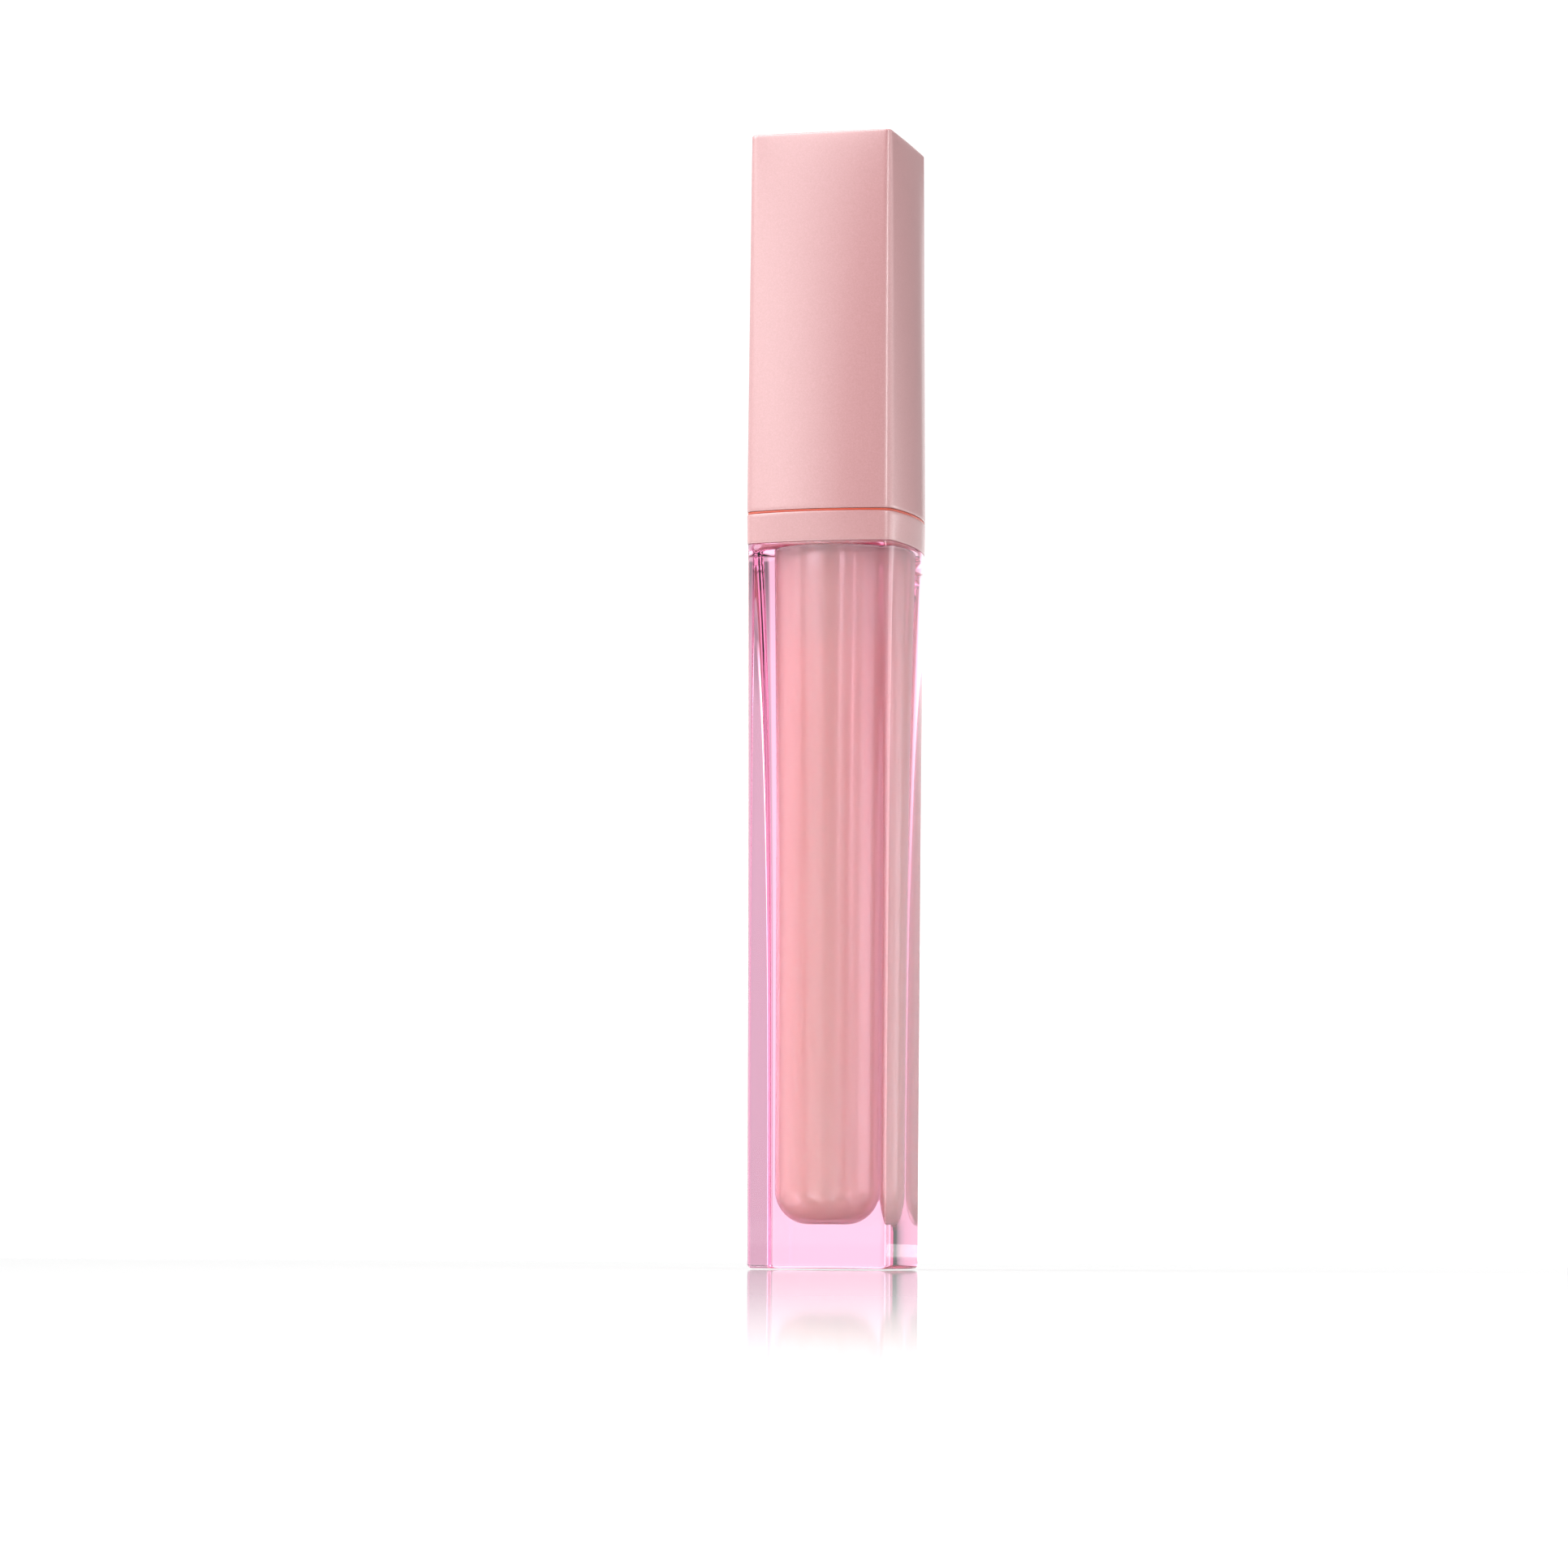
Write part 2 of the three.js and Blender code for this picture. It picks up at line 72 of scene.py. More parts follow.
# round chamber, liner and fill
CHAMBER_RADIUS = 5.4
CHAMBER_FLOOR = 5.15
LINER_RADIUS = 5.75
LINER_FLOOR = 4.75
LINER_WALL = 0.28
FLOOR_CURVE = 3.7
FILL_TOP = 78.2
FILL_OVERLAP = 0.02
WAND_POCKET_RADIUS = 2.6
WAND_POCKET_FLOOR = 7.6

# neck and its thread
SHOULDER_RADIUS = 7.2
SHOULDER_TOP = 82.35
PLUG_RADIUS = 4.9
PLUG_BOTTOM = 77.0
NECK_RADIUS = 4.8
NECK_BORE = 3.9
NECK_TOP = 91.5
THREAD_PITCH = 2.4
THREAD_HEIGHT = 0.7
THREAD_TURNS = 1.5
THREAD_START = 84.4

# wiper pressed into the neck
WIPER_BOTTOM = 68.6
WIPER_RADIUS = 3.6
WIPER_WALL = 0.5
WIPER_LIP_RADIUS = 1.5
WIPER_FLANGE_RADIUS = 4.6
WIPER_FLANGE_BOTTOM = NECK_TOP + 0.1
WIPER_FLANGE_TOP = 92.4

# loose sealing washer on the neck
WASHER_BOTTOM = 92.7
WASHER_TOP = 93.5
WASHER_RADIUS = 5.0
WASHER_HOLE_RADIUS = 1.7

# wand
STEM_RADIUS = 1.15
STEM_BOTTOM = 22.4
STEM_HEAD_RADIUS = 2.65
STEM_HEAD_BOTTOM = 95.05
STEM_HEAD_TOP = 100.6
SPIGOT_RADIUS = 0.65
SPIGOT_BOTTOM = 18.6

# threaded insert in the cap
INSERT_BOTTOM = 82.65
INSERT_BORE = 5.8
INSERT_RADIUS = 6.6
INSERT_TOP = 101.5
WEB_BOTTOM = 93.8
WEB_TOP = 95.0
WEB_HOLE_RADIUS = STEM_RADIUS + 0.05
SOCKET_RADIUS = 3.9
SOCKET_BORE = 2.75
RIB_ROOT = 6.3
RIB_REACH = 8.2
RIB_HALF = 0.5

# cap shell, end plate and its pad
CAP_WALL = 1.25
CAP_CEILING = 119.6
POCKET_GAP = 0.05
POCKET_MOUTH_GAP = 0.08
POCKET_FLOOR = HEIGHT - 0.95
PAD_BOTTOM = HEIGHT - 0.94
PAD_TOP = HEIGHT - 0.86
PLATE_BOTTOM = HEIGHT - 0.85

# weight slug
WEIGHT_RADIUS = 5.6
WEIGHT_BOTTOM = 101.8
WEIGHT_TOP = 116.8

# smoothness
SIDE_STEPS = 24
CORNER_STEPS = 9
EDGE_STEPS = 6
FLOOR_STEPS = 14
FILLET_STEPS = 4
THREAD_STEPS_PER_TURN = 72
TIP_STEPS = 64


# ---- Geometry ----

def square_outline(section, inset=0.0):
    """Closed outline of a square with bowed sides and rounded corners, shrunk by inset."""
    chord, bow, corner = section
    chord -= inset
    corner = max(corner - inset * 0.5, 0.12)
    side_radius = (chord * chord + bow * bow) / (2 * bow)
    offset = side_radius - chord - bow
    centre = (math.sqrt(2 * (side_radius - corner) ** 2 - offset * offset) - offset) / 2
    half = math.atan2(centre, centre + offset)
    side = []
    for i in range(SIDE_STEPS + 1):
        # steps crowd towards the corners
        t = i / SIDE_STEPS
        t -= 0.1 * math.sin(TAU * t)
        angle = -half + 2 * half * t
        side.append((side_radius * math.sin(angle), offset - side_radius * math.cos(angle)))
    for i in range(1, CORNER_STEPS):
        angle = half + (QUARTER - 2 * half) * i / CORNER_STEPS
        side.append((centre + corner * math.sin(angle), -centre - corner * math.cos(angle)))
    outline = []
    for _ in range(4):
        outline += side
        side = [(-y, x) for x, y in side]
    return outline


def mix(a, b, t):
    return a + (b - a) * t


def section_between(start, end, share, bow_share):
    """Section partway from start to end; its bow and corners change at a pace of their own."""
    shares = (share, bow_share, bow_share)
    return tuple(mix(a, b, t) for a, b, t in zip(start, end, shares))


def body_section(z):
    """Section of the bottle and collar, square at the foot and bowed only near the collar."""
    share = z / COLLAR_TOP
    return section_between(BASE_SECTION, JOINT_SECTION, share, share ** BODY_BOW_POWER)


def bottle_section(z):
    """The body's section, drawn in a little towards the collar so that the collar stands proud."""
    chord, bow, corner = body_section(z)
    return (chord - BODY_INSET * z / BOTTLE_TOP, bow, corner)


def cap_section(z):
    """Section of the cap, bowed for most of its length and square at its end."""
    share = min(max(HEIGHT - z, 0) / (HEIGHT - CAP_BOTTOM), 1)
    return section_between(TOP_SECTION, JOINT_SECTION, share, share ** CAP_BOW_POWER)


def plate_section(z):
    """Section of the end plate, the same at every height."""
    return PLATE_SECTION


def levels(low, high, count):
    return [low + (high - low) * i / count for i in range(count + 1)]


def square_ring(section, z, inset=0.0):
    return [(x, y, z) for x, y in square_outline(section, inset)]


def edge_rings(section_at, z, radius, upward):
    """Rings that round one end's edge; upward is +1 at the top of a body and -1 at its bottom."""
    rings = []
    for i in range(EDGE_STEPS + 1):
        angle = (i / EDGE_STEPS) * math.pi / 2
        inset = radius * (1 - math.cos(angle))
        height = z - upward * (radius - radius * math.sin(angle))
        rings.append(square_ring(section_at(height), height, inset))
    return rings if upward > 0 else rings[::-1]


def flat_end(section_at, z, inset, reach):
    """A ring just inside a rounded edge, which keeps the flat end's shading flat."""
    return square_ring(section_at(z), z, inset + reach)


def round_ring(radius, z, outline):
    """A round ring in the directions of a square outline's points, so that faces join without twisting."""
    points = []
    for x, y, _ in outline:
        length = math.hypot(x, y)
        points.append((radius * x / length, radius * y / length, z))
    return points


def skin_data(rings, start=True, loop=False):
    """Points and faces of a skin through rings: closed by one face at each end, open at the first ring
    where start is false, or with the last ring joined to the first."""
    count = len(rings[0])
    points = [p for r in rings for p in r]
    faces = []
    for level in range(len(rings) if loop else len(rings) - 1):
        above = (level + 1) % len(rings)
        for i in range(count):
            j = (i + 1) % count
            faces.append((level * count + i, level * count + j, above * count + j, above * count + i))
    if start and not loop:
        faces.append(tuple(reversed(range(count))))
    if not loop:
        faces.append(tuple(range((len(rings) - 1) * count, len(rings) * count)))
    return points, faces


def join_data(*parts):
    points, faces = [], []
    for some_points, some_faces in parts:
        base = len(points)
        points += some_points
        faces += [tuple(base + i for i in face) for face in some_faces]
    return points, faces


def fillet(path, radius, closed):
    """The path with its sharp corners rounded."""
    slight_turn, share_of_side = 0.3, 0.42
    out = []
    count = len(path)
    for i, point in enumerate(path):
        if not closed and i in (0, count - 1):
            out.append(point)
            continue
        here = Vector(point)
        before = Vector(path[i - 1]) - here
        after = Vector(path[(i + 1) % count]) - here
        if math.pi - before.angle(after) < slight_turn:
            out.append(point)
            continue
        reach = min(radius, share_of_side * before.length, share_of_side * after.length)
        first = here + before.normalized() * reach
        last = here + after.normalized() * reach
        for k in range(FILLET_STEPS + 1):
            t = k / FILLET_STEPS
            spot = first * (1 - t) ** 2 + here * 2 * t * (1 - t) + last * t * t
            out.append((spot.x, spot.y))
    return out


def densify(path, step, closed):
    """The path with points added wherever two neighbours are more than a step apart."""
    out = []
    count = len(path)
    for i in range(count if closed else count - 1):
        a, b = Vector(path[i]), Vector(path[(i + 1) % count])
        pieces = max(1, math.ceil((b - a).length / step))
        out += [tuple(a.lerp(b, k / pieces)) for k in range(pieces)]
    if not closed:
        out.append(path[-1])
    return out


def turned_data(profile, radius, steps=96, step=6.0):
    """Body of revolution about Z, its corners rounded by radius. A profile that starts on the axis
    also ends on it; any other one closes on itself."""
    closed = profile[0][0] > 0
    least_radius = 1e-4
    rings = []
    for r, z in densify(fillet(profile, radius, closed), step, closed):
        r = max(r, least_radius)
        angles = [TAU * k / steps for k in range(steps)]
        rings.append([(r * math.cos(angle), r * math.sin(angle), z) for angle in angles])
    return skin_data(rings, loop=closed)


def floor_curve(radius, floor, curve):
    """Quarter-circle corner of a rounded chamber floor, from the flat middle out to the wall."""
    arc = []
    for i in range(FLOOR_STEPS + 1):
        angle = i / FLOOR_STEPS * math.pi / 2
        arc.append((radius - curve + curve * math.sin(angle), floor + curve * (1 - math.cos(angle))))
    return arc


def thread_data(root, crest, start):
    """Right-hand thread ridge with a rounded crest that fades in and out."""
    steps = round(THREAD_TURNS * THREAD_STEPS_PER_TURN)
    sink = math.copysign(0.15, root - crest)
    # half of the ridge's rounded profile: share of the crest's height, distance from the ridge's middle
    flank = [(0.0, 0.44), (0.7, 0.28), (0.95, 0.2), (1.0, 0.1)]
    rings = []
    for i in range(steps + 1):
        share = i / steps
        fade = min(1.0, 9 * min(share, 1 - share))
        fade = 0.02 + 0.98 * fade * fade * (3 - 2 * fade)
        top = mix(root, crest, fade)
        angle = share * THREAD_TURNS * TAU
        middle = start + share * THREAD_TURNS * THREAD_PITCH
        half = [(root + sink, 0.47), *((mix(root, top, rise), away) for rise, away in flank)]
        profile = [(r, -away) for r, away in half] + half[::-1]
        rings.append([(r * math.cos(angle), r * math.sin(angle), middle + away) for r, away in profile])
    return skin_data(rings)


def add_object(name, data, material, body, nodes):
    points, faces = data
    mesh = bpy.data.meshes.new(name)
    mesh.from_pydata([Vector(p) * MM for p in points], [], faces)
    mesh.validate()
    mesh.polygons.foreach_set("use_smooth", [True] * len(mesh.polygons))
    mesh.materials.append(material)
    piece = bpy.data.objects.new(name, mesh)
    bpy.context.scene.collection.objects.link(piece)
    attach(piece, body)
    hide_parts(*nodes)


# ---- Materials ----

def new_material(name):
    material = bpy.data.materials.new(name)
    material.use_nodes = True
    tree = material.node_tree
    return material, tree, tree.nodes["Principled BSDF"]


def set_inputs(node, **values):
    """Sets a node's own sockets; an underscore stands for a space in the socket's name."""
    for socket, value in values.items():
        node.inputs[socket.replace("_", " ")].default_value = value


def noise(tree, scale, detail=2.0, roughness=0.5, stretch=None):
    node = tree.nodes.new("ShaderNodeTexNoise")
    set_inputs(node, Scale=scale, Detail=detail, Roughness=roughness)
    source = tree.nodes.new("ShaderNodeTexCoord").outputs["Object"]
    if stretch:
        mapping = tree.nodes.new("ShaderNodeMapping")
        set_inputs(mapping, Scale=stretch)
        tree.links.new(source, mapping.inputs["Vector"])
        source = mapping.outputs["Vector"]
    tree.links.new(source, node.inputs["Vector"])
    return node.outputs["Fac"]


def ramp(tree, factor, stops):
    node = tree.nodes.new("ShaderNodeValToRGB")
    elements = node.color_ramp.elements
    while len(elements) < len(stops):
        elements.new(0.5)
    for element, (position, colour) in zip(elements, stops):
        element.position = position
        element.color = (*colour, 1)
    tree.links.new(factor, node.inputs["Fac"])
    return node.outputs["Color"]


def map_range(tree, value, low, high, start=0.0, end=1.0):
    """Takes values from start to end over to low to high, and holds them at those ends."""
    node = tree.nodes.new("ShaderNodeMapRange")
    set_inputs(node, From_Min=start, From_Max=end, To_Min=low, To_Max=high)
    tree.links.new(value, node.inputs["Value"])
    return node.outputs["Result"]


def maths(tree, operation, value):
    """A Math node with the value on its first socket."""
    node = tree.nodes.new("ShaderNodeMath")
    node.operation = operation
    tree.links.new(value, node.inputs[0])
    return node


def bump(tree, shader, height, strength, distance_mm):
    node = tree.nodes.new("ShaderNodeBump")
    set_inputs(node, Strength=strength, Distance=distance_mm * MM)
    tree.links.new(height, node.inputs["Height"])
    tree.links.new(node.outputs["Normal"], shader.inputs["Normal"])


def shade(colour, factor):
    return tuple(min(1.0, c * factor) for c in colour)


def plastic(name, colour, roughness, grain=4000.0, bump_mm=0.004, glow_mm=0.0):
    """Moulded plastic: faint flow mottling in the colour, fine grain in roughness and surface."""
    material, tree, shader = new_material(name)
    spread = 0.04
    flow = noise(tree, 90.0, 3.0, stretch=(1, 1, 0.35))
    tint = ramp(tree, flow, [(0.3, shade(colour, 1 - spread)), (0.7, shade(colour, 1 + spread))])
    tree.links.new(tint, shader.inputs["Base Color"])
    fine = noise(tree, grain)
    tree.links.new(map_range(tree, fine, roughness * 0.8, roughness * 1.2), shader.inputs["Roughness"])
    bump(tree, shader, fine, 0.3, bump_mm)
    if glow_mm:
        set_inputs(shader, Subsurface_Weight=0.2, Subsurface_Scale=glow_mm * MM)
    return material


def pearl_lacquer(name):
    """Pearl-pink lacquer: fine mica flakes in a warm pink base, under a clear coat."""
    material, tree, shader = new_material(name)
    flake = tree.nodes.new("ShaderNodeTexVoronoi")
    set_inputs(flake, Scale=14000.0)
    where = tree.nodes.new("ShaderNodeTexCoord")
    tree.links.new(where.outputs["Object"], flake.inputs["Vector"])
    mottle = noise(tree, 5200.0, 2.0, 0.6)
    both = tree.nodes.new("ShaderNodeMix")
    set_inputs(both, Factor=0.35)
    tree.links.new(mottle, both.inputs["A"])
    tree.links.new(flake.outputs["Color"], both.inputs["B"])
    tint = ramp(tree, both.outputs["Result"], [
        (0.25, (0.325, 0.137, 0.14)), (0.5, (0.35, 0.153, 0.158)), (0.8, (0.39, 0.183, 0.19))])
    tree.links.new(tint, shader.inputs["Base Color"])
    tree.links.new(map_range(tree, mottle, 0.32, 0.4), shader.inputs["Roughness"])
    bump(tree, shader, both.outputs["Result"], 0.08, 0.003)
    set_inputs(shader, IOR=2.0, Coat_Weight=0.45, Coat_Roughness=0.08)
    return material


def clear_plastic(name, roughness, density, colour, ior=1.49, clarity=1.0):
    """Clear moulded plastic with a tint that deepens with thickness and faint flow ripples."""
    material, tree, shader = new_material(name)
    set_inputs(shader, Base_Color=(1, 1, 1, 1), Transmission_Weight=clarity, IOR=ior)
    fine = noise(tree, 300.0)
    tree.links.new(map_range(tree, fine, roughness * 0.5, roughness * 1.5), shader.inputs["Roughness"])
    bump(tree, shader, noise(tree, 60.0, 1.0, stretch=(1, 1, 0.2)), 0.15, 0.01)
    volume = tree.nodes.new("ShaderNodeVolumeAbsorption")
    set_inputs(volume, Color=(*colour, 1), Density=density)
    tree.links.new(volume.outputs["Volume"], tree.nodes["Material Output"].inputs["Volume"])
    return material


def creamy_gloss(name):
    """Thick pigmented gloss with soft upright swirls, which light sinks into."""
    material, tree, shader = new_material(name)
    swirl = noise(tree, 110.0, 4.0, 0.55, stretch=(1, 1, 0.22))
    tint = ramp(tree, swirl, [
        (0.3, (0.845, 0.46, 0.365)), (0.55, (0.875, 0.5, 0.4)), (0.75, (0.915, 0.565, 0.465))])
    tree.links.new(tint, shader.inputs["Base Color"])
    tree.links.new(map_range(tree, swirl, 0.18, 0.24), shader.inputs["Roughness"])
    set_inputs(shader, IOR=2.2, Subsurface_Weight=0.85, Subsurface_Radius=(1.0, 0.7, 0.65),
               Subsurface_Scale=6.0 * MM)
    return material


def brushed_metal(name, scale, stretch, colours, roughness, relief=0.0):
    """Metal with fine brush marks, from a dark to a light colour and over a range of roughness."""
    material, tree, shader = new_material(name)
    brush = noise(tree, scale, 4.0, 0.6, stretch=stretch)
    tree.links.new(ramp(tree, brush, list(zip((0.3, 0.7), colours))), shader.inputs["Base Color"])
    tree.links.new(map_range(tree, brush, *roughness), shader.inputs["Roughness"])
    set_inputs(shader, Metallic=1.0)
    if relief:
        bump(tree, shader, brush, relief, 0.003)
    return material


def gold_metal(name):
    """Gold anodised plate, brushed along X."""
    colours = [(0.56, 0.39, 0.19), (0.64, 0.47, 0.26)]
    return brushed_metal(name, 700.0, (1, 14, 1), colours, (0.12, 0.26), relief=0.15)


def steel_metal(name):
    """Turned steel with marks round its axis."""
    colours = [(0.36, 0.36, 0.37), (0.5, 0.5, 0.5)]
    return brushed_metal(name, 500.0, (0.4, 0.4, 16), colours, (0.25, 0.45))


def flock_fibre(name):
    """Short flocked fibres soaked with a little gloss."""
    material, tree, shader = new_material(name)
    fibre = noise(tree, 7000.0, 3.0, 0.7)
    tint = ramp(tree, fibre, [(0.3, (0.36, 0.15, 0.155)), (0.65, (0.5, 0.27, 0.27))])
    tree.links.new(tint, shader.inputs["Base Color"])
    set_inputs(shader, Roughness=0.9, Sheen_Weight=0.25, Sheen_Roughness=0.4)
    bump(tree, shader, fibre, 0.9, 0.05)
    return material


PEARL = pearl_lacquer("pearl_lacquer")
CLEAR = clear_plastic("clear_pink_plastic", 0.01, 46.0, (0.97, 0.125, 0.55))
LINER = clear_plastic("clear_liner_plastic", 0.02, 200.0, (0.6, 0.0, 0.3), ior=1.04, clarity=0.9)
GLOSS = creamy_gloss("creamy_gloss")
CORAL = plastic("coral_plastic", (0.5, 0.075, 0.04), 0.3, glow_mm=1.0)
NATURAL = plastic("natural_plastic", (0.42, 0.34, 0.32), 0.36, glow_mm=0.8)
SEAL = plastic("seal_foam", (0.9, 0.86, 0.84), 0.75, grain=6000.0, bump_mm=0.02)
PAD = plastic("adhesive_pad", (0.69, 0.65, 0.59), 0.8)
GOLD = gold_metal("gold_plate_metal")
STEEL = steel_metal("steel_slug_metal")
FLOCK = flock_fibre("flocked_fibre")


# ---- Bottle ----

def bottle_data():
    outer = [flat_end(bottle_section, 0.0, BASE_EDGE, 0.35)]
    outer += edge_rings(bottle_section, 0.0, BASE_EDGE, -1)
    outer += [square_ring(bottle_section(z), z) for z in levels(0.8, BOTTLE_TOP - 0.6, 46)]
    outer += edge_rings(bottle_section, BOTTLE_TOP, MOUTH_EDGE, 1)
    wall = [(CHAMBER_RADIUS, z) for z in levels(BOTTLE_TOP, CHAMBER_FLOOR + FLOOR_CURVE + 0.3, 30)]
    bowl = floor_curve(CHAMBER_RADIUS, CHAMBER_FLOOR, FLOOR_CURVE)[::-1]
    middle = (0.8, CHAMBER_FLOOR)
    inner = [round_ring(r, z, outer[0]) for r, z in [*wall, *bowl, middle]]
    return skin_data(outer + inner)


def liner_data():
    inner = LINER_RADIUS - LINER_WALL
    inner_floor = LINER_FLOOR + LINER_WALL
    rim = BOTTLE_TOP - 0.03
    profile = [(0, LINER_FLOOR), *floor_curve(LINER_RADIUS, LINER_FLOOR, FLOOR_CURVE),
               (LINER_RADIUS, rim), (inner, rim),
               *reversed(floor_curve(inner, inner_floor, FLOOR_CURVE - LINER_WALL)), (0, inner_floor)]
    return turned_data(profile, 0.08, 128, 3.0)


def gloss_data():
    """The fill stands all round the wiper sleeve and leaves the wand its pocket."""
    radius = LINER_RADIUS - LINER_WALL + FILL_OVERLAP
    floor = LINER_FLOOR + LINER_WALL - FILL_OVERLAP
    sleeve_clear = WIPER_RADIUS + 0.1
    sleeve_end = WIPER_BOTTOM - 0.2
    profile = [(0, floor), *floor_curve(radius, floor, FLOOR_CURVE - LINER_WALL),
               (radius, FILL_TOP), (sleeve_clear, FILL_TOP), (sleeve_clear, sleeve_end),
               (WAND_POCKET_RADIUS, sleeve_end), (WAND_POCKET_RADIUS, WAND_POCKET_FLOOR + 1),
               (WAND_POCKET_RADIUS - 1, WAND_POCKET_FLOOR), (0, WAND_POCKET_FLOOR)]
    return turned_data(profile, 0.1, 128, 3.0)


def neck_data():
    """Neck with its thread. The flat square lip, which the CAD's neck doesn't have, shows as a coral line
    in the gap under the cap."""
    profile = [(NECK_BORE, PLUG_BOTTOM), (PLUG_RADIUS, PLUG_BOTTOM), (PLUG_RADIUS, COLLAR_BOTTOM),
               (SHOULDER_RADIUS, COLLAR_BOTTOM), (SHOULDER_RADIUS, SHOULDER_TOP),
               (NECK_RADIUS, SHOULDER_TOP), (NECK_RADIUS, NECK_TOP), (NECK_BORE, NECK_TOP)]
    body = turned_data(profile, 0.2)
    ridge = thread_data(NECK_RADIUS, NECK_RADIUS + THREAD_HEIGHT, THREAD_START)
    lip = [square_ring(JOINT_SECTION, z, 0.1) for z in (COLLAR_TOP + 0.01, CAP_BOTTOM - 0.03)]
    return join_data(body, ridge, skin_data(lip))


def wiper_data():
    inner = WIPER_RADIUS - WIPER_WALL
    profile = [(WIPER_LIP_RADIUS, WIPER_BOTTOM), (WIPER_LIP_RADIUS + 0.4, WIPER_BOTTOM),
               (WIPER_RADIUS, WIPER_BOTTOM + 2.4), (WIPER_RADIUS, WIPER_FLANGE_BOTTOM),
               (WIPER_FLANGE_RADIUS, WIPER_FLANGE_BOTTOM), (WIPER_FLANGE_RADIUS, WIPER_FLANGE_TOP),
               (inner, WIPER_FLANGE_TOP), (inner, WIPER_BOTTOM + 2.6), (WIPER_LIP_RADIUS, WIPER_BOTTOM + 0.5)]
    return turned_data(profile, 0.2)


def collar_data():
    reach = 0.25
    rings = [flat_end(body_section, COLLAR_BOTTOM, JOINT_EDGE, reach)]
    rings += edge_rings(body_section, COLLAR_BOTTOM, JOINT_EDGE, -1)
    rings += [square_ring(body_section(z), z) for z in levels(COLLAR_BOTTOM + 0.4, COLLAR_TOP - 0.4, 4)]
    rings += edge_rings(body_section, COLLAR_TOP, JOINT_EDGE, 1)
    rings.append(flat_end(body_section, COLLAR_TOP, JOINT_EDGE, reach))
    hole = [round_ring(SHOULDER_RADIUS + 0.05, z, rings[0]) for z in (COLLAR_TOP, COLLAR_BOTTOM)]
    return skin_data(rings + hole, loop=True)


add_object("bottle_block", bottle_data(), CLEAR, "bottle", ["outer_bottle"])
add_object("liner_cup", liner_data(), LINER, "bottle", ["chamber_liner"])
add_object("gloss_body", gloss_data(), GLOSS, "bottle", ["gloss_fill"])
add_object("neck_moulding", neck_data(), CORAL, "bottle", ["neck"])
add_object("wiper_sleeve", wiper_data(), NATURAL, "bottle", ["wiper"])
add_object("collar_band", collar_data(), PEARL, "bottle", ["collar"])


# ---- Cap ----

def cap_data():
    """Shell down to the plate's pocket, and the hollow inside, which starts at the rim."""
    heights = levels(CAP_BOTTOM + 0.4, HEIGHT - 4.5, 34) + levels(HEIGHT - 4.0, HEIGHT - 0.5, 10)
    outer = edge_rings(cap_section, CAP_BOTTOM, JOINT_EDGE, -1)
    outer += [square_ring(cap_section(z), z) for z in heights]
    outer += edge_rings(cap_section, HEIGHT, CAP_EDGE, 1)
    pocket = [square_ring(PLATE_SECTION, HEIGHT, -POCKET_MOUTH_GAP),
              square_ring(PLATE_SECTION, HEIGHT - 0.05, -POCKET_GAP),
              square_ring(PLATE_SECTION, POCKET_FLOOR, -POCKET_GAP)]
    shell = skin_data(outer + pocket, start=False)
    rim = square_ring(cap_section(CAP_BOTTOM), CAP_BOTTOM, JOINT_EDGE)
    hollow = [square_ring(cap_section(z), z, CAP_WALL) for z in levels(CAP_BOTTOM, CAP_CEILING, 24)]
    inside_points, inside_faces = skin_data([rim, *hollow], start=False)
    inside_faces = [tuple(reversed(face)) for face in inside_faces]
    return join_data(shell, (inside_points, inside_faces))


def plate_data():
    rings = [square_ring(PLATE_SECTION, z) for z in (PLATE_BOTTOM, HEIGHT - 0.35)]
    rings += edge_rings(plate_section, HEIGHT, PLATE_EDGE, 1)
    rings.append(flat_end(plate_section, HEIGHT, PLATE_EDGE, 0.3))
    return skin_data(rings)


def pad_data():
    return skin_data([square_ring(PLATE_SECTION, z, 0.8) for z in (PAD_BOTTOM, PAD_TOP)])


def rib_data(angle):
    """Upright rib on the insert's wall, pointing at a corner of the cap."""
    turn = Matrix.Rotation(angle, 3, "Z")
    corners = [(RIB_ROOT, -RIB_HALF), (RIB_REACH, -RIB_HALF), (RIB_REACH, RIB_HALF), (RIB_ROOT, RIB_HALF)]
    outline = fillet(corners, 0.2, closed=True)
    rings = [[tuple(turn @ Vector((x, y, z))) for x, y in outline] for z in (INSERT_BOTTOM, WEB_TOP)]
    return skin_data(rings)


def insert_data():
    profile = [(INSERT_BORE, INSERT_BOTTOM), (INSERT_RADIUS, INSERT_BOTTOM), (INSERT_RADIUS, WEB_TOP),
               (SOCKET_RADIUS, WEB_TOP), (SOCKET_RADIUS, INSERT_TOP), (SOCKET_BORE, INSERT_TOP),
               (SOCKET_BORE, WEB_TOP), (WEB_HOLE_RADIUS, WEB_TOP), (WEB_HOLE_RADIUS, WEB_BOTTOM),
               (INSERT_BORE, WEB_BOTTOM)]
    body = turned_data(profile, 0.25)
    ridge = thread_data(INSERT_BORE, INSERT_BORE - THREAD_HEIGHT, THREAD_START + THREAD_PITCH / 2)
    ribs = [rib_data(math.pi / 4 + quarter * math.pi / 2) for quarter in range(4)]
    return join_data(body, ridge, *ribs)


def slug_data():
    profile = [(0, WEIGHT_BOTTOM), (WEIGHT_RADIUS, WEIGHT_BOTTOM),
               (WEIGHT_RADIUS, WEIGHT_TOP), (0, WEIGHT_TOP)]
    return turned_data(profile, 0.5)


